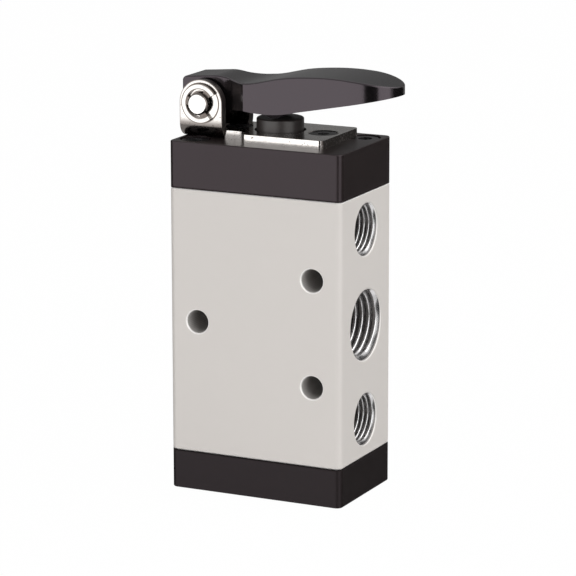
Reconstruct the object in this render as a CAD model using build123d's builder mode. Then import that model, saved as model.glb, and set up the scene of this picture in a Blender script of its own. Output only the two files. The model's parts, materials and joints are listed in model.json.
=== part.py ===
from build123d import *
import math
import os

# Hand lever air valve: a five port spool valve, pressed by a hinged lever over its top cap.
# Millimetres. The origin is the centre of the bottom cap's lower face, +Z runs up the
# spool, +X points at the side with three ports and -Y is the front.

# Block
block_width = 34.6
block_depth = 22.0
end_land = 6.92
bottom_cap_height = 7.3
top_cap_height = 8.65
corner_radius = 1.2
edge_break = 0.25

# Ports. Threads are left to the finish, so a bore is plain at its thread's major radius.
port_pitch = 8.89
port_centre_lift = 0.07
main_port_radius = 6.58
main_port_depth = 9.5
exhaust_port_radius = 4.86
exhaust_port_depth = 8.0
port_mouth = 0.24
main_passage_radius = 2.5
exhaust_passage_radius = 2.2
outlet_offset = 9.9

# Mounting holes, through from front to back
mount_hole_radius = 2.15
mount_hole_x = 11.6
mount_hole_offset = 9.9
mount_hole_mouth = 0.2

# Spool bore
bore_radius = 5.5
chamber_radius = 6.5
chamber_height = 4.0

# Fits
running_gap = 0.03
seat_gap = 0.02
side_gap = 0.15
plunger_lash = 0.1

# Cap screws, M3 with socket heads
screw_radius = 1.5
screw_clearance = 0.15
head_radius = 2.75
head_height = 3.0
head_well_depth = 3.2
hex_across_flats = 2.5
hex_depth = 1.6
cap_screw_x = 13.7
cap_screw_y = 7.2
top_screw_length = 12.0
bottom_screw_length = 10.0
tap_runout = 0.8

# Seals
cap_seal_radius = 8.0
cap_seal_width = 1.0
cap_seal_depth = 0.8
wiper_width = 1.1
wiper_height = 1.6
wiper_depth = 3.6
seal_wire_radius = 0.75
seal_corner = 0.35
seal_groove_slack = 0.15

# Plunger and spool
plunger_radius = 4.35
plunger_stand = 2.3
plunger_rim = 0.3
plunger_travel = 2.12
flange_radius = 5.15
flange_height = 1.9
flange_pocket_radius = 5.5
flange_pocket_depth = 3.4
spool_land_radius = 5.2
spool_land_length = 3.0
spool_waist_radius = 3.6
spool_end_gap = 0.12
closing_seal_offset = 1.0
opening_seal_offset = 3.1

# Return spring
spring_radius = 2.2
spring_wire_radius = 0.3
spring_turns = 7
spring_well_radius = 2.75
spring_cap_well_depth = 4.6
spring_spool_well_depth = 6.5

# Lever bracket, folded from sheet
sheet = 1.6
plate_front = 12.1
plate_half_width = 7.86
plate_corner = 1.0
neck_start = 4.2
neck_half_width = 5.26
neck_corner = 1.5
ear_half_span = 6.4
ear_radius = 4.3
bend_inner_radius = 1.0
plate_screw_x = 8.7
plate_screw_length = 6.0
plate_screw_head_radius = 2.7
plate_screw_recess = 0.15
plate_hex_across_flats = 2.0
plate_hex_depth = 1.1
plunger_hole_gap = 0.4

# Hinge
hinge_reach = 13.0
hinge_height = 4.85
pin_radius = 2.0
pin_overhang = 0.8
pin_chamfer = 0.3
clip_radius = 3.65
clip_thickness = 0.6
clip_groove_radius = 1.6
clip_window_radius = 2.65
clip_side_gap = 0.05
clip_opening_angle = -10.0
clip_opening_spread = 84.0
clip_prong_width = 1.5
clip_prong_turn = 16.0
clip_prong_overlap = 0.4

# Lever hub, turning on the pin between the ears. Reaches and rises are taken from the hinge,
# and a pair of numbers is a reach and a rise.
hub_half_width = 4.1
hub_boss_radius = 3.3
hub_reach = 4.95
hub_rear_rise = 4.35
hub_crown = (1.5, 4.9)
hub_corner = 0.9
hub_brow = (4.9, 4.55)
hub_dip = (7.9, 4.2)
heel_gap = 0.3
heel_rear = 2.6
heel_front = 1.5
heel_slope_end = 3.9
heel_slope_drop = 1.25
heel_bevel = 1.2

# Lever pad, pressed by a thumb
pad_start = 8.6
pad_half_width = 6.4
pad_reach = 37.3
pad_nose_length = 8.3
pad_flare_start = 4.6
pad_flare_blend = 3.0
pad_back = (10.4, 4.4)
pad_chest = (15.05, 5.45)
pad_shoulder = (20.1, 6.12)
pad_crest = (24.2, 6.33)
pad_fall = (31.0, 5.97)
pad_tip_rise = 4.8
pad_tip_slope = -0.22
pad_tip_thickness = 1.65
pad_root_drop = 0.84
pad_belly_reach = 14.5
pad_belly_drop = 1.12
pad_ramp_reach = 19.2
pad_ramp_drop = 0.36
pad_edge = 0.35
lever_wall = 1.6
lever_roof = 1.8
hollow_reach = 31.0
rib_thickness = 1.2
rib_pitch = 5.4
rib_count = 3
pusher_half_width = 2.8

# Heights, from the foot up, and the places worked out from them
body_base = bottom_cap_height
body_height = 4 * port_pitch + 2 * end_land
body_top = body_base + body_height
cap_top = body_top + top_cap_height
plate_top = cap_top + sheet
hinge_x = -hinge_reach
hinge_z = plate_top + hinge_height
plunger_top = plate_top + plunger_stand
spool_mid = body_base + body_height / 2 + port_centre_lift
wiper_base = cap_top - wiper_depth
flange_top = body_top + flange_pocket_depth - seat_gap
spool_top = flange_top - flange_height
spool_base = body_base + plunger_travel + spool_end_gap
side_x = block_width / 2
ear_inner = ear_half_span - sheet
heel_drop = hinge_height - heel_gap
pusher_radius = hinge_height - plunger_stand - plunger_lash
plate_rear = hinge_reach + ear_radius

# Planes on the faces that get drilled, and the upright plane through the hinge
right_side = Plane(origin=(side_x, 0, spool_mid), x_dir=(0, 1, 0), z_dir=(1, 0, 0))
left_side = Plane(origin=(-side_x, 0, spool_mid), x_dir=(0, -1, 0), z_dir=(-1, 0, 0))
front_side = Plane(origin=(0, -block_depth / 2, spool_mid), x_dir=(1, 0, 0), z_dir=(0, -1, 0))
back_side = Plane(origin=(0, block_depth / 2, spool_mid), x_dir=(-1, 0, 0), z_dir=(0, 1, 0))
foot_side = Plane(origin=(0, 0, 0), x_dir=(1, 0, 0), z_dir=(0, 0, -1))
body_foot = Plane(origin=(0, 0, body_base), x_dir=(1, 0, 0), z_dir=(0, 0, -1))
hinge_plane = Plane(origin=(hinge_x, 0, hinge_z), x_dir=(1, 0, 0), z_dir=(0, -1, 0))

top_screw_spots = [(-cap_screw_x, -cap_screw_y), (cap_screw_x, cap_screw_y)]
foot_screw_spots = [(x, -y) for x, y in top_screw_spots]
plate_screw_spots = [(-plate_screw_x, 0), (plate_screw_x, 0)]
mount_spots = [(mount_hole_x, -mount_hole_offset), (mount_hole_x, mount_hole_offset), (-mount_hole_x, 0)]
back_mount_spots = [(-x, y) for x, y in mount_spots]
exhaust_spots = [(0, -2 * port_pitch), (0, 2 * port_pitch)]
outlet_spots = [(0, -outlet_offset), (0, outlet_offset)]
outlet_passage_spots = [(0, -port_pitch), (0, port_pitch)]
outlet_chambers = [spool_mid - port_pitch, spool_mid + port_pitch]

# the end seals stay in plain bore over the whole travel, the others cross a chamber's edge
seal_heights = [spool_base + spool_land_length / 2]
for outlet_z in outlet_chambers:
    seal_heights += [outlet_z - closing_seal_offset, outlet_z + opening_seal_offset]
top_chamber_edge = spool_mid + 2 * port_pitch + chamber_height / 2
seal_heights.append(top_chamber_edge + plunger_travel + seal_wire_radius + seal_groove_slack)

os.makedirs("parts", exist_ok=True)


def write(piece, name):
    """Label a finished piece and write it under its node's name."""
    piece.part.label = name
    export_step(piece.part, f"parts/{name}.step")


# Valve body: the bored and drilled middle block
with BuildPart() as valve_body:
    with BuildSketch(Plane.XY.offset(body_base)) as block_plan:
        Rectangle(block_width, block_depth)
        fillet(block_plan.vertices(), radius=corner_radius)
    extrude(amount=body_height)
    chamfer(valve_body.faces().filter_by(Axis.Z).edges(), length=edge_break)

    # spool bore, with a ring chamber at each port
    with BuildSketch(Plane.XY.offset(body_base)):
        Circle(bore_radius)
    extrude(amount=body_height, mode=Mode.SUBTRACT)
    for step in range(-2, 3):
        with BuildSketch(Plane.XY.offset(spool_mid + step * port_pitch - chamber_height / 2)):
            Circle(chamber_radius)
        extrude(amount=chamber_height, mode=Mode.SUBTRACT)

    # inlet and two exhausts on the right, two outlets on the left
    with Locations(right_side):
        CounterSinkHole(main_port_radius, main_port_radius + port_mouth, main_port_depth, 90)
        Hole(main_passage_radius, side_x)
        with Locations(*exhaust_spots):
            CounterSinkHole(exhaust_port_radius, exhaust_port_radius + port_mouth, exhaust_port_depth, 90)
            Hole(exhaust_passage_radius, side_x)
    with Locations(left_side):
        with Locations(*outlet_spots):
            CounterSinkHole(main_port_radius, main_port_radius + port_mouth, main_port_depth, 90)
        with Locations(*outlet_passage_spots):
            Hole(main_passage_radius, side_x)

    # three mounting holes through the depth, with broken mouths at both faces
    with Locations(front_side):
        with Locations(*mount_spots):
            CounterSinkHole(mount_hole_radius, mount_hole_radius + mount_hole_mouth, block_depth / 2, 90)
    with Locations(back_side):
        with Locations(*back_mount_spots):
            CounterSinkHole(mount_hole_radius, mount_hole_radius + mount_hole_mouth, block_depth / 2, 90)

    # tapped holes for the cap screws
    with Locations(Plane.XY.offset(body_top)):
        with Locations(*top_screw_spots):
            Hole(screw_radius + seat_gap, top_screw_length + head_well_depth - top_cap_height + tap_runout)
    with Locations(body_foot):
        with Locations(*foot_screw_spots):
            Hole(screw_radius + seat_gap, bottom_screw_length + head_well_depth - body_base + tap_runout)

# Top cap: closes the bore, guides the plunger and carries the bracket
with BuildPart() as top_cap:
    with BuildSketch(Plane.XY.offset(body_top)) as top_plan:
        Rectangle(block_width, block_depth)
        fillet(top_plan.vertices(), radius=corner_radius)
    extrude(amount=top_cap_height)
    fillet(top_cap.faces().sort_by(Axis.Z)[-1].edges(), radius=edge_break)
    with Locations(Plane.XY.offset(cap_top)):
        Hole(plunger_radius + running_gap, top_cap_height)
        with Locations(*top_screw_spots):
            CounterBoreHole(screw_radius + screw_clearance, head_radius + side_gap,
                            head_well_depth, top_cap_height)
        with Locations(*plate_screw_spots):
            Hole(screw_radius + seat_gap, plate_screw_length - sheet + tap_runout)
    with BuildSketch(Plane.XY.offset(body_top)):
        Circle(flange_pocket_radius)
    extrude(amount=flange_pocket_depth, mode=Mode.SUBTRACT)
    with BuildSketch(Plane.XY.offset(body_top)):
        Circle(cap_seal_radius + cap_seal_width / 2)
        Circle(cap_seal_radius - cap_seal_width / 2, mode=Mode.SUBTRACT)
    extrude(amount=cap_seal_depth, mode=Mode.SUBTRACT)
    with BuildSketch(Plane.XY.offset(wiper_base)):
        Circle(plunger_radius + wiper_width)
    extrude(amount=wiper_height, mode=Mode.SUBTRACT)

# Bottom cap: closes the bore and seats the return spring
with BuildPart() as bottom_cap:
    with BuildSketch() as foot_plan:
        Rectangle(block_width, block_depth)
        fillet(foot_plan.vertices(), radius=corner_radius)
    extrude(amount=bottom_cap_height)
    fillet(bottom_cap.faces().sort_by(Axis.Z)[0].edges(), radius=edge_break)
    with Locations(foot_side):
        with Locations(*foot_screw_spots):
            CounterBoreHole(screw_radius + screw_clearance, head_radius + side_gap,
                            head_well_depth, bottom_cap_height)
    with BuildSketch(body_foot):
        Circle(spring_well_radius)
    extrude(amount=spring_cap_well_depth, mode=Mode.SUBTRACT)
    with BuildSketch(body_foot):
        Circle(cap_seal_radius + cap_seal_width / 2)
        Circle(cap_seal_radius - cap_seal_width / 2, mode=Mode.SUBTRACT)
    extrude(amount=cap_seal_depth, mode=Mode.SUBTRACT)


def face_seal(face):
    """Ring seal that fills the groove cut into a cap, from the body's end face outwards."""
    with BuildPart() as seal:
        with BuildSketch(face):
            Circle(cap_seal_radius + cap_seal_width / 2 - seat_gap)
            Circle(cap_seal_radius - cap_seal_width / 2 + seat_gap, mode=Mode.SUBTRACT)
        extrude(amount=cap_seal_depth)
    return seal


def socket_screws(cap_face, spots, length):
    """Socket head screws at the spots, their heads sunk in the wells of a cap's face."""
    with BuildPart() as screws:
        with BuildSketch(cap_face.offset(-head_well_depth)):
            with Locations(*spots):
                Circle(head_radius)
        extrude(amount=head_height)
        chamfer(screws.faces().filter_by(Axis.Z).edges(), length=edge_break)
        with BuildSketch(cap_face.offset(-head_well_depth)):
            with Locations(*spots):
                Circle(screw_radius)
        extrude(amount=-length)
        with BuildSketch(cap_face.offset(head_height - head_well_depth)):
            with Locations(*spots):
                RegularPolygon(hex_across_flats / 2, 6, major_radius=False)
        extrude(amount=-hex_depth, mode=Mode.SUBTRACT)
    return screws


top_cap_seal = face_seal(Plane.XY.offset(body_top))
bottom_cap_seal = face_seal(body_foot)
top_cap_screws = socket_screws(Plane.XY.offset(cap_top), top_screw_spots, top_screw_length)
bottom_cap_screws = socket_screws(foot_side, foot_screw_spots, bottom_screw_length)

# Wiper ring in the top cap, rubbing on the plunger
with BuildPart() as plunger_wiper:
    with BuildSketch(Plane.XY.offset(wiper_base)):
        Circle(plunger_radius + wiper_width - seat_gap)
        Circle(plunger_radius + running_gap, mode=Mode.SUBTRACT)
    extrude(amount=wiper_height)

# Plunger: the button under the lever, held in by its flange
with BuildPart() as plunger:
    with BuildSketch(Plane.XY.offset(spool_top)):
        Circle(flange_radius)
    extrude(amount=flange_height)
    with BuildSketch(Plane.XY.offset(flange_top)):
        Circle(plunger_radius)
    extrude(amount=plunger_top - flange_top)
    fillet(plunger.edges().group_by(Axis.Z)[-1], radius=plunger_rim)

# Spool: lands that carry the seals, narrow waists that let the air past
with BuildPart() as spool:
    with BuildSketch(Plane.XY.offset(spool_base)):
        Circle(spool_waist_radius)
    extrude(amount=spool_top - spool_base)
    for seal_z in seal_heights:
        with BuildSketch(Plane.XY.offset(seal_z - spool_land_length / 2)):
            Circle(spool_land_radius)
        extrude(amount=spool_land_length)
    for seal_z in seal_heights:
        with BuildSketch(Plane.XY.offset(seal_z - seal_wire_radius - seal_groove_slack)):
            Circle(spool_land_radius)
            Circle(bore_radius - running_gap - 2 * seal_wire_radius - seat_gap, mode=Mode.SUBTRACT)
        extrude(amount=2 * (seal_wire_radius + seal_groove_slack), mode=Mode.SUBTRACT)
    with BuildSketch(Plane.XY.offset(spool_base)):
        Circle(spring_well_radius)
    extrude(amount=spring_spool_well_depth, mode=Mode.SUBTRACT)


def spool_seal(height):
    """Square ring with broken corners in a spool groove, just clear of the bore."""
    with BuildPart() as ring:
        with BuildSketch(Plane.XZ) as section:
            with Locations((bore_radius - running_gap - seal_wire_radius, height)):
                Rectangle(2 * seal_wire_radius, 2 * seal_wire_radius)
            chamfer(section.vertices(), length=seal_corner)
        revolve(axis=Axis.Z)
    return ring


# Return spring, from the bottom cap's well into the spool's
spring_foot = body_base - spring_cap_well_depth
spring_length = spool_base + spring_spool_well_depth - spring_foot
spring_rise = spring_length - 2 * spring_wire_radius
with BuildPart() as return_spring:
    with BuildLine() as coil:
        Helix(pitch=spring_rise / spring_turns, height=spring_rise, radius=spring_radius,
              center=(0, 0, spring_foot + spring_wire_radius))
    with BuildSketch(Plane(origin=coil.line @ 0, z_dir=coil.line % 0)):
        RegularPolygon(spring_wire_radius, 6)
    sweep(is_frenet=True)

# Lever bracket: a plate on the cap whose rear is folded up into two ears
with BuildPart() as lever_bracket:
    # folded channel, seen along X
    with BuildSketch(Plane.YZ.offset(-plate_rear)) as channel:
        with Locations((0, cap_top)):
            Rectangle(2 * ear_half_span, hinge_z + ear_radius - cap_top, align=(Align.CENTER, Align.MIN))
        fillet(channel.vertices().group_by(Axis.Y)[0], radius=bend_inner_radius + sheet)
        with BuildSketch(Plane.XY, mode=Mode.PRIVATE) as gap:
            with Locations((0, plate_top)):
                Rectangle(2 * ear_inner, hinge_z + ear_radius, align=(Align.CENTER, Align.MIN))
            fillet(gap.vertices().group_by(Axis.Y)[0], radius=bend_inner_radius)
        add(gap.sketch, mode=Mode.SUBTRACT)
    extrude(amount=2 * ear_radius)

    # ears rounded about the pin
    with BuildSketch(hinge_plane) as ear_outline:
        Circle(ear_radius)
        Rectangle(2 * ear_radius, hinge_z, align=(Align.CENTER, Align.MAX))
    extrude(amount=ear_half_span, both=True, mode=Mode.INTERSECT)

    # plate in front of the ears, with a neck beside the bends
    with BuildSketch(Plane.XY.offset(cap_top)) as plate:
        with Locations((-neck_start, 0)):
            Rectangle(plate_front + neck_start, 2 * plate_half_width, align=(Align.MIN, Align.CENTER))
        fillet(plate.vertices(), radius=plate_corner)
        with Locations((-neck_start + plate_corner, 0)):
            Rectangle(hinge_reach - ear_radius - neck_start + plate_corner, 2 * neck_half_width,
                      align=(Align.MAX, Align.CENTER))
        inner_corners = plate.vertices().filter_by(lambda v: abs(v.X + neck_start) < seat_gap
                                                   and abs(abs(v.Y) - neck_half_width) < seat_gap)
        fillet(inner_corners, radius=neck_corner)
    extrude(amount=sheet)

    with Locations(Plane.XY.offset(plate_top)):
        Hole(plunger_radius + plunger_hole_gap, sheet)
        with Locations(*plate_screw_spots):
            CounterSinkHole(screw_radius + screw_clearance,
                            plate_screw_head_radius + plate_screw_recess + seat_gap, sheet, 90)
    with BuildSketch(hinge_plane):
        Circle(pin_radius + seat_gap)
    extrude(amount=ear_half_span, both=True, mode=Mode.SUBTRACT)

# Countersunk screws that hold the bracket down
with BuildPart() as bracket_screws:
    with Locations(Plane.XY.offset(plate_top - plate_screw_recess)):
        with Locations(*plate_screw_spots):
            Cylinder(screw_radius, plate_screw_length - plate_screw_recess,
                     align=(Align.CENTER, Align.CENTER, Align.MAX))
            Cone(screw_radius, plate_screw_head_radius, plate_screw_head_radius - screw_radius,
                 align=(Align.CENTER, Align.CENTER, Align.MAX))
    with BuildSketch(Plane.XY.offset(plate_top - plate_screw_recess)):
        with Locations(*plate_screw_spots):
            RegularPolygon(plate_hex_across_flats / 2, 6, major_radius=False)
    extrude(amount=-plate_hex_depth, mode=Mode.SUBTRACT)

# Hinge pin across the ears, grooved for a clip outside each
clip_inner_y = ear_half_span + clip_side_gap
pin_half_length = clip_inner_y + clip_thickness + clip_side_gap + pin_overhang
with BuildPart() as hinge_pin:
    with BuildSketch(hinge_plane):
        Circle(pin_radius)
    extrude(amount=pin_half_length, both=True)
    chamfer(hinge_pin.faces().filter_by(Axis.Y).edges(), length=pin_chamfer)
    for side in (-1, 1):
        with BuildSketch(hinge_plane.offset(side * (clip_inner_y - clip_side_gap / 2))):
            Circle(pin_radius)
            Circle(clip_groove_radius, mode=Mode.SUBTRACT)
        extrude(amount=side * (clip_thickness + clip_side_gap), mode=Mode.SUBTRACT)


def e_clip(side):
    """E-shaped ring in the pin's groove, with three prongs that reach the groove's floor."""
    half_opening = clip_opening_spread / 2
    end_turn = half_opening + clip_prong_turn
    prong_reach = clip_window_radius - clip_groove_radius + clip_prong_overlap
    with BuildPart() as clip:
        with BuildSketch(hinge_plane.offset(side * clip_inner_y)):
            Circle(clip_radius)
            Circle(clip_window_radius, mode=Mode.SUBTRACT)
            for turn in (-end_turn, end_turn, 180):
                with PolarLocations(clip_groove_radius, 1, start_angle=clip_opening_angle + turn):
                    Rectangle(prong_reach, clip_prong_width, align=(Align.MIN, Align.CENTER))
            Circle(clip_groove_radius + seat_gap, mode=Mode.SUBTRACT)
            with Locations(Location((0, 0, 0), (0, 0, clip_opening_angle))):
                far_side = 2 * clip_radius * math.tan(math.radians(half_opening))
                Polygon((0, 0), (2 * clip_radius, -far_side), (2 * clip_radius, far_side),
                        align=None, mode=Mode.SUBTRACT)
        extrude(amount=side * clip_thickness)
    return clip


top_curve = [hub_crown, hub_brow, hub_dip, pad_back, pad_chest, pad_shoulder,
             pad_crest, pad_fall, (pad_reach, pad_tip_rise)]
tip_low = (pad_reach, pad_tip_rise - pad_tip_thickness)
lever_height = 2 * hinge_height + pad_crest[1]
nose_start = hinge_x + pad_reach - pad_nose_length


def pad_plan(inset):
    """Plan of the pad, square at the hub and elliptical at the nose, drawn in by an inset."""
    with Locations((hinge_x + pad_start + inset, 0)):
        Rectangle(pad_reach - pad_nose_length - pad_start - inset, 2 * (pad_half_width - inset),
                  align=(Align.MIN, Align.CENTER))
    with Locations((nose_start, 0)):
        Ellipse(pad_nose_length - inset, pad_half_width - inset)


# Hollow under the pad, divided by one long rib and several cross ribs
with BuildPart() as lever_hollow:
    with BuildSketch(hinge_plane):
        with BuildLine():
            hollow_start = pad_start + lever_wall
            roof_points = [(reach, rise - lever_roof) for reach, rise in top_curve
                           if hollow_start <= reach <= hollow_reach]
            roof = Spline(*roof_points)
            Polyline(roof @ 1, (hollow_reach, -hinge_height), (hollow_start, -hinge_height), roof @ 0)
        make_face()
    extrude(amount=pad_half_width, both=True)
    with BuildSketch(Plane.XY.offset(plate_top)):
        pad_plan(lever_wall)
    extrude(amount=lever_height, mode=Mode.INTERSECT)
    with BuildSketch(Plane.XY.offset(plate_top)):
        with Locations((hinge_x, 0)):
            Rectangle(pad_reach, rib_thickness, align=(Align.MIN, Align.CENTER))
        with Locations(*[(rib * rib_pitch, 0) for rib in range(rib_count + 1)]):
            Rectangle(rib_thickness, 2 * pad_half_width)
    extrude(amount=lever_height, mode=Mode.SUBTRACT)

# Lever: one moulding, the side outline crossed with the plan and the heel's bevelled section
with BuildPart() as lever:
    with BuildSketch(hinge_plane) as side_outline:
        with BuildLine():
            hub_top = Line((-hub_reach, hub_rear_rise), hub_crown)
            Spline(*top_curve, tangents=(hub_top % 1, (1, pad_tip_slope)))
            Line((pad_reach, pad_tip_rise), tip_low)
            Line(tip_low, (pad_ramp_reach, -pad_ramp_drop))
            ThreePointArc((pad_ramp_reach, -pad_ramp_drop), (pad_belly_reach, -pad_belly_drop),
                          (pad_start, -pad_root_drop))
            Polyline((pad_start, -pad_root_drop), (heel_slope_end, -heel_slope_drop),
                     (heel_front, -heel_drop), (-heel_rear, -heel_drop),
                     (-hub_reach, hub_reach - heel_rear - heel_drop), (-hub_reach, hub_rear_rise))
        make_face()
        fillet(side_outline.vertices().sort_by(Axis.X)[0:2].sort_by(Axis.Y)[-1], radius=hub_corner)
    extrude(amount=pad_half_width, both=True)

    with BuildSketch(Plane.XY.offset(plate_top)) as lever_outline:
        pad_plan(0)
        with Locations((hinge_x - hub_reach, 0)):
            Rectangle(hub_reach + pad_start + lever_wall, 2 * hub_half_width,
                      align=(Align.MIN, Align.CENTER))
        flare_near = hinge_x + pad_flare_start
        flare_far = hinge_x + pad_start
        Polygon((flare_near, -hub_half_width), (flare_far, -pad_half_width),
                (flare_far, pad_half_width), (flare_near, hub_half_width), align=None)
        fillet(lever_outline.vertices().filter_by(lambda v: abs(v.X - flare_near) < seat_gap),
               radius=pad_flare_blend)
    extrude(amount=lever_height, mode=Mode.INTERSECT)

    with BuildSketch(Plane.YZ.offset(hinge_x - hub_reach)):
        with Locations((0, hinge_z - heel_drop + heel_bevel)):
            Rectangle(2 * pad_half_width, lever_height, align=(Align.CENTER, Align.MIN))
        with Locations((0, hinge_z - heel_drop)):
            Trapezoid(2 * hub_half_width, heel_bevel, 135, align=(Align.CENTER, Align.MIN))
    extrude(amount=hub_reach + pad_reach, mode=Mode.INTERSECT)

    top_faces = lever.faces().filter_by(lambda f: f.normal_at(f.center()).Z > 0.9
                                        and f.center().Z > hinge_z + hub_dip[1])
    rim = [edge for edge in top_faces.edges() if len([f for f in top_faces if edge in f.edges()]) == 1]
    fillet(rim, radius=pad_edge)

    add(lever_hollow.part, mode=Mode.SUBTRACT)
    with BuildSketch(hinge_plane):
        with Locations((hinge_reach, 0)):
            Circle(pusher_radius)
    extrude(amount=pusher_half_width, both=True)
    with BuildSketch(hinge_plane):
        Circle(hub_boss_radius)
    extrude(amount=ear_inner - side_gap, both=True)
    with BuildSketch(hinge_plane):
        Circle(pin_radius + running_gap)
    extrude(amount=ear_inner, both=True, mode=Mode.SUBTRACT)

pieces = {
    "valve_body": valve_body,
    "top_cap": top_cap,
    "bottom_cap": bottom_cap,
    "top_cap_seal": top_cap_seal,
    "bottom_cap_seal": bottom_cap_seal,
    "top_cap_screws": top_cap_screws,
    "bottom_cap_screws": bottom_cap_screws,
    "plunger_wiper": plunger_wiper,
    "plunger": plunger,
    "spool": spool,
    "return_spring": return_spring,
    "lever_bracket": lever_bracket,
    "bracket_screws": bracket_screws,
    "hinge_pin": hinge_pin,
    "e_clip_front": e_clip(1),
    "e_clip_rear": e_clip(-1),
    "lever": lever,
}
for number, seal_z in enumerate(seal_heights, start=1):
    pieces[f"spool_seal_{number}"] = spool_seal(seal_z)
for name, piece in pieces.items():
    write(piece, name)
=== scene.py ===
"""Looks of a hand lever air valve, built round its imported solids.

Each sub-assembly is a class that models its own pieces and dresses the solids it owns.
Lengths are metres in the valve's own frame: +Z runs up the spool, +X points at the side
with three ports and -Y is the front. Places come from the frame, and sizes that a maker
would choose are fields of the classes.
"""

import json
import logging
import math
from dataclasses import dataclass
from enum import Enum
from typing import Any, Mapping, Sequence

import bpy
from mathutils import Matrix, Vector


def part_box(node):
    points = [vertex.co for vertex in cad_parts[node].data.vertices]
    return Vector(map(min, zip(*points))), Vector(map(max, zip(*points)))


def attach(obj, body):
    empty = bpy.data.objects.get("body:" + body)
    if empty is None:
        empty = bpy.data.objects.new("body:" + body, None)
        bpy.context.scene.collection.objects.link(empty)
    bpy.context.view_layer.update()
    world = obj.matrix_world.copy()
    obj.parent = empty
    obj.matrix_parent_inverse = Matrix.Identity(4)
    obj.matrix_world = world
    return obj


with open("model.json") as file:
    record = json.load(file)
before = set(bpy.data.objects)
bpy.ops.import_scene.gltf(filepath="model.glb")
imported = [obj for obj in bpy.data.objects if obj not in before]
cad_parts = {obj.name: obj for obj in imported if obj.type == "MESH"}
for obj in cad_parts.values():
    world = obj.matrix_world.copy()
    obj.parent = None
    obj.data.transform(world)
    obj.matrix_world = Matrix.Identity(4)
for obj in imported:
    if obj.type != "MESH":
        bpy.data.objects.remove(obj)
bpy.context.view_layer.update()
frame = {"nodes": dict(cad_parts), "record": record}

logging.basicConfig(level=logging.INFO, format="%(name)s: %(message)s")
log = logging.getLogger("valve")

MM = 0.001
# Depth and crest radius of a Whitworth thread, as shares of its pitch.
WHITWORTH_DEPTH = 0.6403
WHITWORTH_CREST = 0.1373
Color = tuple[float, float, float]


class Body(Enum):
    """Bodies of the valve that a modelled piece rides on."""

    ROOT = "root"


class Slot(Enum):
    """Material slots, which no piece here takes."""

    ALLOY = "body_alloy"


# ----------------------------------------------------------------------------
# Shader maths
# ----------------------------------------------------------------------------


class Wire:
    """A node socket that takes part in Python arithmetic, one Math node for each operator."""

    def __init__(self, paint: "Graph", socket: bpy.types.NodeSocket) -> None:
        """Keep the socket and the graph it is in."""
        self.paint = paint
        self.socket = socket

    def _math(self, operation: str, *values: Any, clamp: bool = False) -> "Wire":
        """Run one Math node on the values and return its result."""
        sockets = dict(enumerate(values))
        made = self.paint.node("ShaderNodeMath", {"operation": operation, "use_clamp": clamp}, sockets)
        return Wire(self.paint, made.outputs[0])

    def __add__(self, other: Any) -> "Wire":
        """Sum."""
        return self._math("ADD", self, other)

    __radd__ = __add__

    def __sub__(self, other: Any) -> "Wire":
        """Difference."""
        return self._math("SUBTRACT", self, other)

    def __rsub__(self, other: Any) -> "Wire":
        """Difference with this wire on the right."""
        return self._math("SUBTRACT", other, self)

    def __mul__(self, other: Any) -> "Wire":
        """Product."""
        return self._math("MULTIPLY", self, other)

    __rmul__ = __mul__

    def __pow__(self, other: Any) -> "Wire":
        """Power."""
        return self._math("POWER", self, other)

    def __abs__(self) -> "Wire":
        """Absolute value."""
        return self._math("ABSOLUTE", self)

    def least(self, other: Any) -> "Wire":
        """The smaller of two values."""
        return self._math("MINIMUM", self, other)

    def most(self, other: Any) -> "Wire":
        """The larger of two values."""
        return self._math("MAXIMUM", self, other)

    def root(self) -> "Wire":
        """Square root."""
        return self._math("SQRT", self)

    def sine(self) -> "Wire":
        """Sine of the value in radians."""
        return self._math("SINE", self)

    def clamped(self) -> "Wire":
        """The value held between 0 and 1."""
        return self._math("ADD", self, 0.0, clamp=True)

    def ramp(self, low: float, high: float) -> "Wire":
        """Smooth step from 0 at low to 1 at high, which may lie below low.

        Args:
            low: Value that gives 0.
            high: Value that gives 1.

        Returns:
            The stepped value.
        """
        made = self.paint.node(
            "ShaderNodeMapRange",
            {"interpolation_type": "SMOOTHSTEP", "clamp": True},
            {"Value": self, "From Min": low, "From Max": high, "To Min": 0.0, "To Max": 1.0},
        )
        return Wire(self.paint, made.outputs[0])


class Graph:
    """A node tree, with one method through which every node is made."""

    def __init__(self, tree: bpy.types.NodeTree) -> None:
        """Empty the tree and keep it."""
        self.tree = tree
        self.tree.nodes.clear()

    def node(
        self,
        kind: str,
        settings: Mapping[str, Any] | None = None,
        sockets: Mapping[Any, Any] | None = None,
    ) -> bpy.types.Node:
        """Make a node, set it up and feed it.

        Args:
            kind: The node's type.
            settings: Its own properties.
            sockets: Its inputs by name or number, each a wire to link or a constant.

        Returns:
            The new node.
        """
        made = self.tree.nodes.new(kind)
        for key, value in (settings or {}).items():
            setattr(made, key, value)
        for key, value in (sockets or {}).items():
            self.feed(made.inputs[key], value)
        return made

    def feed(self, socket: bpy.types.NodeSocket, value: Any) -> None:
        """Link a wire into a socket, or set a constant on it.

        Args:
            socket: The input to feed.
            value: A wire, or a constant that the socket holds.
        """
        if isinstance(value, Wire):
            self.tree.links.new(value.socket, socket)
        elif isinstance(value, tuple) and len(value) == 3 and socket.type == "RGBA":
            socket.default_value = (*value, 1.0)
        else:
            socket.default_value = value

    def background_share(self) -> Wire:
        """Mask of the rays that see the background: the camera's, mirrored and refracted ones.

        Returns:
            1 for such a ray and 0 for one that lights the valve.
        """
        path = self.node("ShaderNodeLightPath")
        seen = [Wire(self, path.outputs[f"Is {kind} Ray"]) for kind in ("Camera", "Glossy", "Transmission")]
        return seen[0].most(seen[1]).most(seen[2])


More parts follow.
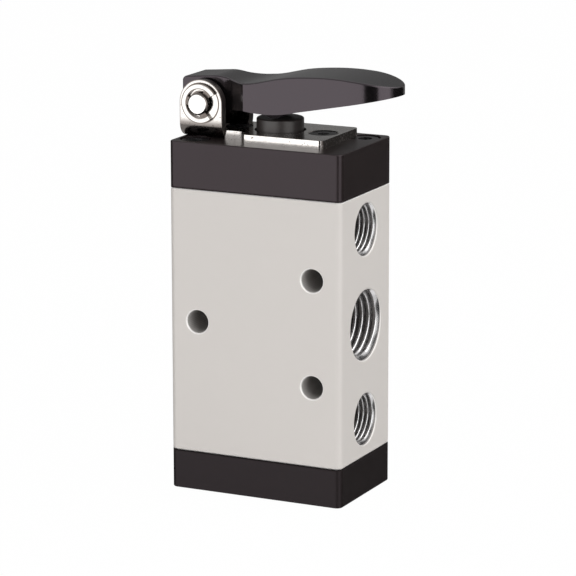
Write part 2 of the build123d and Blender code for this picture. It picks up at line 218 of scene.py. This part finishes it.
class Paint(Graph):
    """The node tree of one material, round a Principled shader."""

    def __init__(self, name: str) -> None:
        """Start a material of that name."""
        self.material = bpy.data.materials.new(name)
        self.material.use_nodes = True
        super().__init__(self.material.node_tree)
        self.shader = self.node("ShaderNodeBsdfPrincipled")
        self.output = self.node("ShaderNodeOutputMaterial", None, {"Surface": self.surface()})

    def surface(self) -> Wire:
        """The main shader's result."""
        return Wire(self, self.shader.outputs[0])

    def place(self) -> Wire:
        """Position on the piece, in metres."""
        return Wire(self, self.node("ShaderNodeTexCoord").outputs["Object"])

    def xyz(self) -> tuple[Wire, Wire, Wire]:
        """The three parts of the position on the piece, in metres."""
        parts = self.node("ShaderNodeSeparateXYZ", None, {0: self.place()})
        return Wire(self, parts.outputs[0]), Wire(self, parts.outputs[1]), Wire(self, parts.outputs[2])

    def facing(self) -> tuple[Wire, Wire, Wire]:
        """The three parts of the surface's outward direction.

        Returns:
            Its X, Y and Z, each between -1 and 1.
        """
        normal = Wire(self, self.node("ShaderNodeNewGeometry").outputs["Normal"])
        parts = self.node("ShaderNodeSeparateXYZ", None, {0: normal})
        return Wire(self, parts.outputs[0]), Wire(self, parts.outputs[1]), Wire(self, parts.outputs[2])

    def rings(self, centre: tuple[float, float], bands: Sequence[tuple[float, float]], blur: float) -> Wire:
        """Mask of rings round a line along Y.

        Args:
            centre: The line's X and Z.
            bands: Each ring's inner and outer radius.
            blur: Width over which a ring's edge fades.

        Returns:
            1 on a ring and 0 elsewhere.
        """
        x, _, z = self.xyz()
        radius = ((x - centre[0]) ** 2.0 + (z - centre[1]) ** 2.0).root()
        mask = radius * 0.0
        for inner, outer in bands:
            mask = mask.most(radius.ramp(inner - blur, inner) * radius.ramp(outer + blur, outer))
        return mask

    def noise(self, grain: float, detail: float = 2.0, rough: float = 0.5,
              stretch: tuple[float, float, float] = (1.0, 1.0, 1.0)) -> Wire:
        """Noise between 0 and 1 over the piece.

        Args:
            grain: Size of one blotch, in metres.
            detail: Octaves.
            rough: Weight of the finer octaves.
            stretch: Factor on each direction, above 1 where the pattern is finer.

        Returns:
            The noise value.
        """
        scaled = self.node("ShaderNodeMapping", None, {"Vector": self.place(), "Scale": stretch})
        made = self.node(
            "ShaderNodeTexNoise", {"noise_dimensions": "3D"},
            {"Vector": Wire(self, scaled.outputs[0]), "Scale": 1.0 / grain, "Detail": detail,
             "Roughness": rough},
        )
        return Wire(self, made.outputs[0])

    def blend(self, amount: Any, first: Any, second: Any) -> Wire:
        """Mix two colours.

        Args:
            amount: 0 for the first, 1 for the second.
            first: Colour or wire.
            second: Colour or wire.

        Returns:
            The mixed colour.
        """
        made = self.node("ShaderNodeMix", {"data_type": "RGBA"})
        self.feed(made.inputs[0], amount)
        self.feed(made.inputs[6], first)
        self.feed(made.inputs[7], second)
        return Wire(self, made.outputs[2])

    def bump(self, height: Wire, depth: float, strength: float = 1.0) -> Wire:
        """Turn a height into a bumped normal, full height being depth metres."""
        made = self.node("ShaderNodeBump", None,
                         {"Height": height, "Distance": depth, "Strength": strength})
        return Wire(self, made.outputs[0])

    def coat(self, **sockets: Any) -> None:
        """Feed the main shader, sockets named in lower case with underscores."""
        for name, value in sockets.items():
            self.feed(self.shader.inputs[name.replace("_", " ").title().replace("Ior", "IOR")], value)


# ----------------------------------------------------------------------------
# Finishes
# ----------------------------------------------------------------------------


@dataclass(frozen=True)
class RoundMouth:
    """A drilled hole along one direction, whose rim may carry a painted highlight."""

    across: int
    centre: tuple[float, float]
    radius: float
    rim: float
    shine: float
    side: float = 0.0


@dataclass(frozen=True)
class BlastedAlloy:
    """Bead blasted, clear anodised aluminium, with a painted highlight along its chamfered ends and hole
    rims, and painted shade down the holes' walls.
    """

    mouths: tuple[RoundMouth, ...]
    ends: tuple[float, float]
    sides: tuple[float, float]
    color: Color = (0.620, 0.588, 0.560)
    # Near white of the painted highlight on the chamfers and hole rims.
    painted_edge_highlight: Color = (0.90, 0.88, 0.86)
    # Painted shade on the holes' walls: near_mouth at the mouth, bore deep in.
    bore: Color = (0.055, 0.040, 0.034)
    near_mouth: Color = (0.46, 0.44, 0.42)
    fade: float = 3.6 * MM
    grain: float = 0.28 * MM
    edge: float = 0.30 * MM
    blur: float = 0.06 * MM

    def make(self) -> bpy.types.Material:
        """Build the material.

        Returns:
            The material, ready to put on a piece.
        """
        paint = Paint("blasted_alloy")
        place = paint.xyz()
        ring, inside = self._highlight_and_wall_masks(paint, place)
        fine = paint.noise(self.grain, 3.0, 0.6)
        cloud = paint.noise(9.0 * MM, 2.0)
        tone = (fine - 0.5) * 0.10 + (cloud - 0.5) * 0.05
        # Painted shade: the holes' walls darken with depth from the front and back faces.
        depth = (place[1] - self.sides[0]).least((place[1] - self.sides[1]) * -1.0)
        wall = paint.blend(depth.ramp(0.0, self.fade), self.near_mouth, self.bore)
        skin = paint.blend((tone + 0.5).clamped(), self._shade(0.90), self._shade(1.10))
        paint.coat(
            base_color=paint.blend(inside, paint.blend(ring, skin, self.painted_edge_highlight), wall),
            metallic=(ring * 0.10 + 0.12).clamped(),
            roughness=(0.56 - ring * 0.12 - inside * 0.08 + (fine - 0.5) * 0.10).clamped(),
            normal=paint.bump(fine, 0.010 * MM, 0.5),
        )
        return paint.material

    def _shade(self, factor: float) -> Color:
        """The skin colour, lighter or darker."""
        return tuple(min(1.0, part * factor) for part in self.color)

    def _highlight_and_wall_masks(self, paint: Paint, place: tuple[Wire, Wire, Wire]) -> tuple[Wire, Wire]:
        """Masks of the painted highlight along the chamfered ends and hole rims, and of the holes' walls.

        Args:
            paint: The material's graph.
            place: Position on the piece.

        Returns:
            The painted highlight's mask and the walls' mask.
        """
        # The ring mask is a painted highlight on the chamfered ends and round the hole rims.
        low, high = self.ends
        height = place[2]
        lower = height.ramp(low + self.edge, low + self.edge / 2)
        ring = lower + height.ramp(high - self.edge, high - self.edge / 2)
        inside: Any = 0.0
        for mouth in self.mouths:
            first, second = [place[i] for i in range(3) if i != mouth.across]
            radius = ((first - mouth.centre[0]) ** 2.0 + (second - mouth.centre[1]) ** 2.0).root()
            there: Any = 1.0
            if mouth.side:
                there = (place[mouth.across] * mouth.side).ramp(0.0, 1.0 * MM)
            rim = mouth.radius + mouth.rim
            ring = ring.most(radius.ramp(rim + self.blur, rim) * there * mouth.shine)
            wall = radius.ramp(mouth.radius + self.blur / 2, mouth.radius - self.blur / 2)
            inside = (wall * there).most(inside)
        return ring.clamped(), inside.clamped()


@dataclass(frozen=True)
class MattMoulding:
    """Dark glass filled plastic with a fine spark eroded texture."""

    name: str
    color: Color = (0.0135, 0.0100, 0.0098)
    rough: float = 0.34
    grain: float = 0.20 * MM
    depth: float = 0.012 * MM
    specular: float = 0.29
    sheen: Color = (1.0, 0.85, 0.94)
    matt_below: float | None = None
    matt_reach: float = 2.6 * MM
    matt_fade: float = 0.4 * MM
    seams: tuple[float, ...] = ()
    seam_half: float = 0.18 * MM
    seam_fade: float = 0.12 * MM
    blur: float = 0.1 * MM

    def make(self) -> bpy.types.Material:
        """Build the material.

        Returns:
            The material, ready to put on a piece.
        """
        paint = Paint(self.name)
        fine = paint.noise(self.grain, 3.0, 0.6)
        broad = paint.noise(6.0 * MM, 2.0)
        rough = self.rough + (broad - 0.5) * 0.10 + (fine - 0.5) * 0.12
        if self.matt_below is not None:
            x, _, z = paint.xyz()
            near = abs(x).ramp(self.matt_reach + self.matt_fade, self.matt_reach)
            foot = z.ramp(self.matt_below + self.blur, self.matt_below) * near
            rough = rough + foot * 0.65
        for seam in self.seams:
            line = abs(paint.xyz()[2] - seam).ramp(self.seam_half + self.seam_fade, self.seam_half)
            rough = rough + line * 0.6
        light = tuple(part * 1.35 for part in self.color)
        dark = tuple(part * 0.75 for part in self.color)
        tone = ((fine - 0.5) * 0.8 + (broad - 0.5) * 0.7 + 0.5).clamped()
        paint.coat(
            base_color=paint.blend(tone, dark, light),
            roughness=rough.clamped(),
            specular_ior_level=self.specular,
            specular_tint=self.sheen,
            normal=paint.bump(fine, self.depth, 0.6),
        )
        return paint.material


@dataclass(frozen=True)
class TurnedPlastic:
    """Dark plastic turned on a lathe, with fine rings round the Z axis."""

    color: Color = (0.027, 0.022, 0.021)
    ring: float = 0.22 * MM

    def make(self) -> bpy.types.Material:
        """Build the material.

        Returns:
            The material, ready to put on a piece.
        """
        paint = Paint("turned_plastic")
        x, y, _ = paint.xyz()
        radius = (x * x + y * y).root()
        wave = (radius * (2.0 * math.pi / self.ring)).sine()
        speck = paint.noise(0.5 * MM, 3.0)
        light = tuple(part * 2.2 for part in self.color)
        paint.coat(
            base_color=paint.blend(((speck - 0.35) * 0.8).clamped(), self.color, light),
            roughness=(0.34 + speck * 0.12).clamped(),
            normal=paint.bump(wave, 0.004 * MM, 0.6),
        )
        return paint.material


@dataclass(frozen=True)
class NickelSheet:
    """Nickel plated steel sheet: bright rolled faces, with painted shade along the ear rims, round the pin
    and the clip and on the bend, and a painted dark, speckled reflection on the faces that face +X.
    """

    hinge: tuple[float, float]
    ear_radius: float
    pin_radius: float
    clip_radius: float
    bend: float
    color: Color = (0.520, 0.496, 0.474)
    pit: Color = (0.20, 0.17, 0.15)
    # Dark colour of the painted shade and painted reflection.
    painted_shade_tone: Color = (0.050, 0.038, 0.032)
    rim: float = 0.20 * MM
    pin_gap: float = 0.30 * MM
    clip_gap: tuple[float, float] = (-0.10 * MM, 0.12 * MM)
    # Heights above the bend over which the painted shade there fades out.
    bend_shade_band: tuple[float, float] = (0.1 * MM, 1.6 * MM)
    bend_fade: float = 0.4 * MM
    side_fade: float = 0.3 * MM
    blur: float = 0.08 * MM

    def make(self) -> bpy.types.Material:
        """Build the material.

        Returns:
            The material, ready to put on a piece.
        """
        paint = Paint("nickel_sheet")
        wave = paint.noise(2.6 * MM, 2.0)
        fine = paint.noise(0.30 * MM, 2.0, 0.5)
        speck = paint.noise(0.42 * MM, 2.0, 0.7)
        pits = speck.ramp(0.60, 0.70)
        x, _, z = paint.xyz()
        # Faces that face +X: rougher and bumpier, and given a painted dark reflection below.
        facing_plus_x = paint.facing()[0].ramp(0.5, 0.8)
        rise = (z - self.hinge[1]).most(0.0)
        spread = ((x - self.hinge[0]) ** 2.0 + rise ** 2.0).root()
        # Painted shade along the ear's rounded rim.
        outline = spread.ramp(self.ear_radius - self.rim, self.ear_radius - self.rim / 2)
        ear = z.ramp(self.bend - self.bend_fade, self.bend)
        # Painted shade in the gap round the pin and in the clip's shadow on the ear.
        gaps = ((self.pin_radius, self.pin_radius + self.pin_gap),
                (self.clip_radius + self.clip_gap[0], self.clip_radius + self.clip_gap[1]))
        round_pin = paint.rings(self.hinge, gaps, self.blur)
        # Painted shade on the bend and on the plate beneath the hinge, fading out up the ear.
        beside = abs(x - self.hinge[0]).ramp(self.ear_radius + self.side_fade, self.ear_radius)
        foot = z.ramp(self.bend + self.bend_shade_band[1], self.bend + self.bend_shade_band[0]) * beside
        # Painted dark reflection on the faces that face +X, broken by speckled glints.
        speckled_reflection = facing_plus_x * (0.84 - speck.ramp(0.56, 0.62) * 0.60)
        # All the painted shade and painted reflection, mixed towards the dark colour below.
        painted_shade_mask = (outline * ear * 0.78).most(round_pin * 0.88).most(foot * 0.80).most(speckled_reflection)
        sheet = paint.blend((pits * 0.8).clamped(), self.color, self.pit)
        rolled = 0.17 + (wave - 0.5) * 0.10 + (fine - 0.5) * 0.08
        paint.coat(
            base_color=paint.blend(painted_shade_mask.clamped(), sheet, self.painted_shade_tone),
            metallic=1.0,
            roughness=(rolled + pits * 0.25 + facing_plus_x * 0.25).clamped(),
            normal=paint.bump(wave * 0.5 + fine * (facing_plus_x * 0.35 + 0.05), 0.05 * MM, 0.5),
        )
        return paint.material


@dataclass(frozen=True)
class BareSteel:
    """Ground or stamped steel with fine scratches and, round a pin, rings of painted shade."""

    name: str
    color: Color = (0.59, 0.575, 0.56)
    rough: float = 0.25
    stain: float = 0.35
    centre: tuple[float, float] = (0.0, 0.0)
    # Painted shade: rings round the centre, and the dark colour they take.
    shaded_rings: tuple[tuple[float, float], ...] = ()
    ring_shade_color: Color = (0.060, 0.045, 0.038)
    blur: float = 0.10 * MM

    def make(self) -> bpy.types.Material:
        """Build the material.

        Returns:
            The material, ready to put on a piece.
        """
        paint = Paint(self.name)
        scratch = paint.noise(0.25 * MM, 3.0, 0.6, (1.0, 0.25, 1.0))
        blot = paint.noise(1.4 * MM, 3.0, 0.6)
        dark = tuple(part * (1.0 - self.stain) for part in self.color)
        steel = paint.blend(blot.ramp(0.45, 0.75), self.color, dark)
        # Painted shade on rings round the pin: the pin's rim, the clip's outline and the edge of its
        # window.
        rings = paint.rings(self.centre, self.shaded_rings, self.blur)
        paint.coat(
            base_color=paint.blend(rings * 0.9, steel, self.ring_shade_color),
            metallic=1.0,
            roughness=(self.rough + (scratch - 0.5) * 0.18 + (blot - 0.5) * 0.15).clamped(),
            normal=paint.bump(scratch, 0.006 * MM, 0.5),
        )
        return paint.material


@dataclass(frozen=True)
class CutThread:
    """Freshly tapped aluminium: bright crests with drag lines along the helix."""

    color: Color = (0.66, 0.65, 0.65)

    def make(self) -> bpy.types.Material:
        """Build the material.

        Returns:
            The material, ready to put on a piece.
        """
        paint = Paint("cut_thread")
        drag = paint.noise(0.16 * MM, 3.0, 0.6, (3.0, 1.0, 1.0))
        blot = paint.noise(1.8 * MM, 2.0)
        dark = tuple(part * 0.80 for part in self.color)
        paint.coat(
            base_color=paint.blend(blot.ramp(0.35, 0.75), self.color, dark),
            metallic=0.97,
            roughness=(0.20 + (drag - 0.5) * 0.12).clamped(),
            normal=paint.bump(drag, 0.003 * MM, 0.4),
        )
        return paint.material


@dataclass(frozen=True)
class BlackOxide:
    """Oil blackened steel, rubbed grey on raised spots."""

    color: Color = (0.045, 0.043, 0.045)
    rubbed: Color = (0.32, 0.31, 0.30)

    def make(self) -> bpy.types.Material:
        """Build the material.

        Returns:
            The material, ready to put on a piece.
        """
        paint = Paint("black_oxide")
        speck = paint.noise(0.35 * MM, 4.0, 0.7)
        worn = speck.ramp(0.58, 0.72)
        paint.coat(
            base_color=paint.blend(worn, self.color, self.rubbed),
            metallic=0.85,
            roughness=(0.40 - worn * 0.10 + (speck - 0.5) * 0.10).clamped(),
            normal=paint.bump(speck, 0.010 * MM, 0.6),
        )
        return paint.material


@dataclass(frozen=True)
class SealRubber:
    """Black nitrile rubber with a faint bloom."""

    color: Color = (0.018, 0.018, 0.019)

    def make(self) -> bpy.types.Material:
        """Build the material.

        Returns:
            The material, ready to put on a piece.
        """
        paint = Paint("seal_rubber")
        bloom = paint.noise(0.9 * MM, 3.0)
        light = tuple(part * 2.4 for part in self.color)
        paint.coat(
            base_color=paint.blend(bloom.ramp(0.4, 0.8), self.color, light),
            roughness=(0.50 + (bloom - 0.5) * 0.2).clamped(),
            normal=paint.bump(bloom, 0.01 * MM, 0.4),
        )
        return paint.material


# ----------------------------------------------------------------------------
# Modelling helpers
# ----------------------------------------------------------------------------


def deselect_all() -> None:
    """Leave nothing selected, since an operator acts on all that is."""
    if bpy.context.object and bpy.context.object.mode != "OBJECT":
        bpy.ops.object.mode_set(mode="OBJECT")
    bpy.ops.object.select_all(action="DESELECT")


def activate(piece: bpy.types.Object) -> None:
    """Make one piece the selected and active one."""
    deselect_all()
    piece.select_set(True)
    bpy.context.view_layer.objects.active = piece


def apply_modifier(piece: bpy.types.Object, kind: str, **settings: Any) -> None:
    """Add a modifier to a piece and apply it at once.

    Args:
        piece: The piece it changes.
        kind: The modifier's type.
        settings: The modifier's own properties.
    """
    activate(piece)
    made = piece.modifiers.new(kind.lower(), kind)
    for key, value in settings.items():
        setattr(made, key, value)
    bpy.ops.object.modifier_apply(modifier=made.name)


def dress(piece: bpy.types.Object, material: bpy.types.Material) -> None:
    """Give a piece one material, on all its faces.

    Args:
        piece: The piece to dress.
        material: The finish that it gets.
    """
    if piece.data.materials:
        for index in range(len(piece.data.materials)):
            piece.data.materials[index] = material
    else:
        piece.data.materials.append(material)


def seat(piece: bpy.types.Object, body: Body) -> None:
    """Let a new piece ride on a body, and report it.

    Args:
        piece: The modelled piece.
        body: What it moves with.
    """
    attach(piece, body.value)
    log.info("%s rides on %s, %d faces", piece.name, body.value, len(piece.data.polygons))


# ----------------------------------------------------------------------------
# Sub-assemblies
# ----------------------------------------------------------------------------


@dataclass
class PortThread:
    """Helical ridge in one port, from the mouth's plain band to near the bottom."""

    name: str
    centre: Vector
    axis: Vector
    wall: float
    length: float
    pitch: float
    lead_in: float = 0.25 * MM
    bite: float = 0.05 * MM
    steps: int = 64
    flank: float = math.radians(27.5)
    crest_points: int = 5
    smooth_below: float = math.radians(50.0)

    def build(self) -> bpy.types.Object:
        """Model the ridge and put it in its bore.

        Returns:
            The thread, as one closed coil.
        """
        deselect_all()
        bpy.ops.mesh.primitive_circle_add(vertices=self.crest_points + 2, radius=1.0)
        piece = bpy.context.object
        piece.name = piece.data.name = self.name
        for vertex, corner in zip(piece.data.vertices, self._outline()):
            vertex.co = corner
        turns = int((self.length - self.lead_in) / self.pitch)
        apply_modifier(piece, "SCREW", axis="Z", angle=2.0 * math.pi, screw_offset=self.pitch,
                       iterations=turns, steps=self.steps, render_steps=self.steps,
                       use_smooth_shade=True, use_normal_calculate=False)
        self._fade_ends(piece, turns)
        bpy.ops.object.mode_set(mode="EDIT")
        bpy.ops.mesh.select_all(action="SELECT")
        bpy.ops.mesh.fill_holes(sides=0)
        bpy.ops.mesh.normals_make_consistent(inside=False)
        bpy.ops.object.mode_set(mode="OBJECT")
        turn = Vector((0.0, 0.0, -1.0)).rotation_difference(self.axis).to_matrix().to_4x4()
        start = self.centre - self.axis * self.lead_in
        piece.data.transform(Matrix.Translation(start) @ turn)
        bpy.ops.object.shade_smooth_by_angle(angle=self.smooth_below)
        return piece

    def _outline(self) -> list[Vector]:
        """Corners of one ridge: a Whitworth form, its round crest towards the port's middle."""
        depth, crest_radius = WHITWORTH_DEPTH * self.pitch, WHITWORTH_CREST * self.pitch
        middle = self.wall - depth + crest_radius
        reach = math.pi / 2 - self.flank
        turns = [reach * (2.0 * i / (self.crest_points - 1) - 1.0) for i in range(self.crest_points)]
        corners = [
            Vector((middle - crest_radius * math.cos(turn), 0.0, crest_radius * math.sin(turn)))
            for turn in turns
        ]
        root = self.wall + self.bite
        half = corners[-1].z + (root - corners[-1].x) * math.tan(self.flank)
        return [Vector((root, 0.0, -half))] + corners + [Vector((root, 0.0, half))]

    def _fade_ends(self, piece: bpy.types.Object, turns: int) -> None:
        """Let the ridge grow out of the wall over the first and the last part of a turn.

        Args:
            piece: The coil, its vertices in rows along the helix.
            turns: How many turns it has.
        """
        rows = turns * self.steps
        fade = self.steps // 5
        count = len(piece.data.vertices)
        corners = max(1, count // (rows + 1))
        for index, vertex in enumerate(piece.data.vertices):
            row = index // corners
            share = min(1.0, (row + 0.5) / fade, (rows - row + 0.5) / fade)
            flat = Vector((vertex.co.x, vertex.co.y, 0.0))
            if share < 1.0 and flat.length < self.wall:
                wanted = self.wall + self.bite / 2 - (self.wall + self.bite / 2 - flat.length) * share
                vertex.co.x *= wanted / flat.length
                vertex.co.y *= wanted / flat.length


@dataclass
class ValveBlock:
    """Body, caps, their screws and seals, and the threads in the ports."""

    coarse_pitch: float = 1.337 * MM
    fine_pitch: float = 0.907 * MM
    coarse_from: float = 5.5 * MM
    port_rim: float = 0.10 * MM
    hole_rim: float = 0.20 * MM

    def build(self) -> None:
        """Dress the block and cut its threads."""
        record = frame["record"]
        mouths = [self._mouth(mount) for mount in self._ports(record)] + self._mounting_mouths()
        low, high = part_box("valve_body")
        alloy = BlastedAlloy(tuple(mouths), (low.z, high.z), (low.y, high.y)).make()
        dress(frame["nodes"]["valve_body"], alloy)
        cap = MattMoulding("cap_moulding", seams=(high.z,)).make()
        foot = MattMoulding("foot_moulding", color=(0.0105, 0.0082, 0.0080), rough=0.42,
                            specular=0.17, seams=(low.z,)).make()
        for node, material in (("top_cap", cap), ("bottom_cap", foot)):
            dress(frame["nodes"][node], material)
        oxide = BlackOxide().make()
        for node in ("top_cap_screws", "bottom_cap_screws", "bracket_screws"):
            dress(frame["nodes"][node], oxide)
        rubber = SealRubber().make()
        for node in frame["nodes"]:
            if "seal" in node or node == "plunger_wiper":
                dress(frame["nodes"][node], rubber)
        self._cut_threads(record)

    def _ports(self, record: Mapping[str, Any]) -> list[Mapping[str, Any]]:
        """The record's threaded ports."""
        return [mount for mount in record["mounts"] if mount["kind"] == "threaded_hole"]

    def _mouth(self, mount: Mapping[str, Any]) -> RoundMouth:
        """Where a port's rim highlight is painted and its wall is shaded, on the body."""
        _, y, z = mount["pos_m"]
        return RoundMouth(0, (y, z), mount["dims"]["r_mm"] * MM, self.port_rim, 0.6, mount["axis"][0])

    def _mounting_mouths(self) -> list[RoundMouth]:
        """Where the three mounting holes' rim highlight is painted and their walls are shaded."""
        mounts = {mount["name"]: mount for mount in frame["record"]["mounts"]}
        pair, single = mounts["mounting_holes"], mounts["mounting_hole_single"]
        radius = pair["dims"]["hole_r_mm"] * MM
        x, _, z = pair["pos_m"]
        half = pair["dims"]["spacing_y_mm"] * MM / 2
        spots = [(x, z - half), (x, z + half), (single["pos_m"][0], single["pos_m"][2])]
        return [RoundMouth(1, spot, radius, self.hole_rim, 0.8) for spot in spots]

    def _cut_threads(self, record: Mapping[str, Any]) -> None:
        """Model a thread in each port."""
        material = CutThread().make()
        for mount in self._ports(record):
            wall = mount["dims"]["r_mm"] * MM
            pitch = self.coarse_pitch if wall > self.coarse_from else self.fine_pitch
            thread = PortThread(
                name=mount["name"].replace("_port", "_thread"),
                centre=Vector(mount["pos_m"]),
                axis=Vector(mount["axis"]),
                wall=wall,
                length=mount["dims"]["length_mm"] * MM,
                pitch=pitch,
            )
            piece = thread.build()
            dress(piece, material)
            seat(piece, Body.ROOT)


@dataclass
class LeverGear:
    """Lever, bracket, pin, clips, plunger and what the plunger pushes."""

    bend_rise: float = 2.4 * MM
    matt_rise: float = 0.75 * MM
    # Bands of painted shade on the pin's rim, on the clip's outline and at the edge of the clip's window.
    pin_shade: tuple[float, float] = (-0.16 * MM, 1.0 * MM)
    clip_shade: tuple[float, float] = (-0.12 * MM, 0.5 * MM)
    clip_window: float = 2.65 * MM
    window_shade: float = 0.12 * MM

    def build(self) -> None:
        """Dress the moving parts and what carries them."""
        nodes = frame["nodes"]
        lever = MattMoulding("lever_moulding", color=(0.0045, 0.0040, 0.0042), rough=0.17,
                             grain=0.16 * MM, depth=0.005 * MM, specular=0.5,
                             matt_below=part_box("hinge_pin")[0].z + self.matt_rise)
        dress(nodes["lever"], lever.make())
        hinge, ear_radius, pin_radius, clip_radius = self._hinge()
        sheet_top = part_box("lever_bracket")[0].z
        dress(nodes["lever_bracket"], NickelSheet(hinge, ear_radius, pin_radius, clip_radius,
                                                   sheet_top + self.bend_rise).make())
        dress(nodes["plunger"], TurnedPlastic().make())
        # The pin and clips darken on rings round the hinge: painted shade.
        pin = BareSteel("ground_pin", rough=0.20, stain=0.15, centre=hinge,
                        shaded_rings=((pin_radius + self.pin_shade[0], pin_radius + self.pin_shade[1]),))
        dress(nodes["hinge_pin"], pin.make())
        clip = BareSteel("clip_steel", color=(0.52, 0.505, 0.485), rough=0.24, centre=hinge,
                         shaded_rings=((clip_radius + self.clip_shade[0], clip_radius + self.clip_shade[1]),
                                (0.0, self.clip_window + self.window_shade))).make()
        for node in ("e_clip_front", "e_clip_rear"):
            dress(nodes[node], clip)
        dress(nodes["spool"], BareSteel("turned_spool", rough=0.22).make())
        dress(nodes["return_spring"], BareSteel("spring_wire", rough=0.30).make())

    def _hinge(self) -> tuple[tuple[float, float], float, float, float]:
        """The hinge's X and Z, and the radii of ear, pin and clip."""
        low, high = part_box("hinge_pin")
        middle = (low + high) / 2
        clip_low, clip_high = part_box("e_clip_front")
        ear = middle.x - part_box("lever_bracket")[0].x
        return (middle.x, middle.z), ear, (high.x - low.x) / 2, (clip_high.z - clip_low.z) / 2


@dataclass(frozen=True)
class Softbox:
    """A soft lamp that hangs round the valve and faces its middle."""

    name: str
    bearing: float
    rise: float
    width: float
    height: float
    glow: float
    distance: float = 1.0


@dataclass(frozen=True)
class Flag:
    """A dark card that only reflections show, standing round the valve and facing it."""

    name: str
    bearing: float
    rise: float
    width: float
    height: float
    grey: float
    distance: float = 1.3


@dataclass
class Studio:
    """Camera, lamps, flags, world and floor. Bearings are degrees from -Y towards +X."""

    azimuth: float = 25.98
    elevation: float = 12.985
    roll: float = -0.083
    distance: float = 606.35 * MM
    aim_right: float = 1.294 * MM
    aim_up: float = 36.32 * MM
    lens: float = 202.87
    sensor: float = 36.0
    nearest: float = 0.05
    floor_size: float = 6.0
    floor_gap: float = 0.03 * MM
    floor_color: Color = (0.86, 0.86, 0.86)
    floor_glow: float = 0.99
    world_light: float = 0.35
    softboxes: tuple[Softbox, ...] = (
        Softbox("left_softbox", -22.0, 5.0, 1.50, 0.90, 1.56),
        Softbox("right_softbox", 66.0, 18.0, 0.76, 1.35, 1.75),
        Softbox("side_softbox", 108.0, 48.0, 0.80, 0.80, 2.1),
    )
    flags: tuple[Flag, ...] = (
        Flag("gap_flag", 31.0, -10.0, 0.78, 1.6, 0.01),
        Flag("left_flag", -103.0, -10.0, 2.5, 1.6, 0.015),
        Flag("side_flag", 130.0, -10.0, 1.8, 1.6, 0.01),
        Flag("back_flag", 202.0, 5.0, 1.9, 1.6, 0.21),
    )

    def build(self) -> None:
        """Set the studio up round the valve."""
        self._camera()
        self._world()
        self._floor()
        for softbox in self.softboxes:
            self._hang_softbox(softbox)
        for flag in self.flags:
            self._stand_flag(flag)
        bpy.context.scene.view_settings.view_transform = "Standard"

    def _toward(self, bearing: float, rise: float) -> Vector:
        """The unit direction from the valve at a bearing and a rise in degrees."""
        turn, lift = math.radians(bearing), math.radians(rise)
        return Vector((math.sin(turn) * math.cos(lift), -math.cos(turn) * math.cos(lift), math.sin(lift)))

    def _camera(self) -> None:
        """Put the camera at its place on its bearing."""
        back = self._toward(self.azimuth, self.elevation)
        level = self._toward(self.azimuth + 90.0, 0.0)
        roll = Matrix.Rotation(math.radians(self.roll), 3, back)
        right, up = roll @ level, roll @ back.cross(level)
        data = bpy.data.cameras.new("camera")
        data.lens = self.lens
        data.sensor_width = self.sensor
        data.clip_start = self.nearest
        camera = bpy.data.objects.new("camera", data)
        camera.rotation_euler = Matrix((right, up, back)).transposed().to_euler()
        camera.location = right * self.aim_right + up * self.aim_up + back * self.distance
        bpy.context.scene.collection.objects.link(camera)
        bpy.context.scene.camera = camera

    def _world(self) -> None:
        """White as a background, softer as a light."""
        world = bpy.data.worlds.new("studio")
        world.use_nodes = True
        bpy.context.scene.world = world
        graph = Graph(world.node_tree)
        strength = graph.background_share() * (1.0 - self.world_light) + self.world_light
        sky = graph.node("ShaderNodeBackground", None, {"Color": (1.0, 1.0, 1.0), "Strength": strength})
        graph.node("ShaderNodeOutputWorld", None, {"Surface": Wire(graph, sky.outputs[0])})

    def _floor(self) -> None:
        """Pale floor under the bottom cap, nearly white as a background."""
        deselect_all()
        bpy.ops.mesh.primitive_plane_add(size=self.floor_size)
        floor = bpy.context.object
        floor.name = floor.data.name = "floor"
        low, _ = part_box("bottom_cap")
        floor.data.transform(Matrix.Translation((0.0, 0.0, low.z - self.floor_gap)))
        floor.visible_glossy = False
        paint = Paint("pale_floor")
        paint.coat(base_color=self.floor_color, roughness=0.8)
        glow = paint.node("ShaderNodeEmission", None, {"Color": (1.0, 1.0, 1.0), "Strength": 1.0})
        mixed = paint.node("ShaderNodeMixShader", None, {
            0: paint.background_share() * self.floor_glow,
            1: paint.surface(),
            2: Wire(paint, glow.outputs[0]),
        })
        paint.feed(paint.output.inputs["Surface"], Wire(paint, mixed.outputs[0]))
        dress(floor, paint.material)

    def _facing(self, direction: Vector, distance: float) -> Matrix:
        """The placing of a flat thing that faces the valve from a direction."""
        turn = direction.to_track_quat("Z", "Y").to_matrix().to_4x4()
        return Matrix.Translation(direction * distance + Vector((0.0, 0.0, self.aim_up))) @ turn

    def _hang_softbox(self, softbox: Softbox) -> None:
        """Hang one softbox, its power set by how bright its face is."""
        data = bpy.data.lights.new(softbox.name, "AREA")
        data.shape = "RECTANGLE"
        data.size, data.size_y = softbox.width, softbox.height
        data.energy = softbox.glow * math.pi * softbox.width * softbox.height
        lamp = bpy.data.objects.new(softbox.name, data)
        lamp.matrix_world = self._facing(self._toward(softbox.bearing, softbox.rise), softbox.distance)
        bpy.context.scene.collection.objects.link(lamp)

    def _stand_flag(self, flag: Flag) -> None:
        """Stand one card, which neither lights nor shades the valve."""
        deselect_all()
        bpy.ops.mesh.primitive_plane_add(size=1.0)
        card = bpy.context.object
        card.name = card.data.name = flag.name
        size = Matrix.Diagonal((flag.width, flag.height, 1.0, 1.0))
        card.data.transform(self._facing(self._toward(flag.bearing, flag.rise), flag.distance) @ size)
        card.visible_camera = card.visible_diffuse = card.visible_shadow = False
        paint = Paint(flag.name)
        shade = (flag.grey, flag.grey, flag.grey)
        glow = paint.node("ShaderNodeEmission", None, {"Color": shade, "Strength": 1.0})
        paint.feed(paint.output.inputs["Surface"], Wire(paint, glow.outputs[0]))
        dress(card, paint.material)


def main() -> None:
    """Build every sub-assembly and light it."""
    for assembly in (ValveBlock(), LeverGear(), Studio()):
        assembly.build()
        log.info("%s done", type(assembly).__name__)


if __name__ == "__main__":
    main()
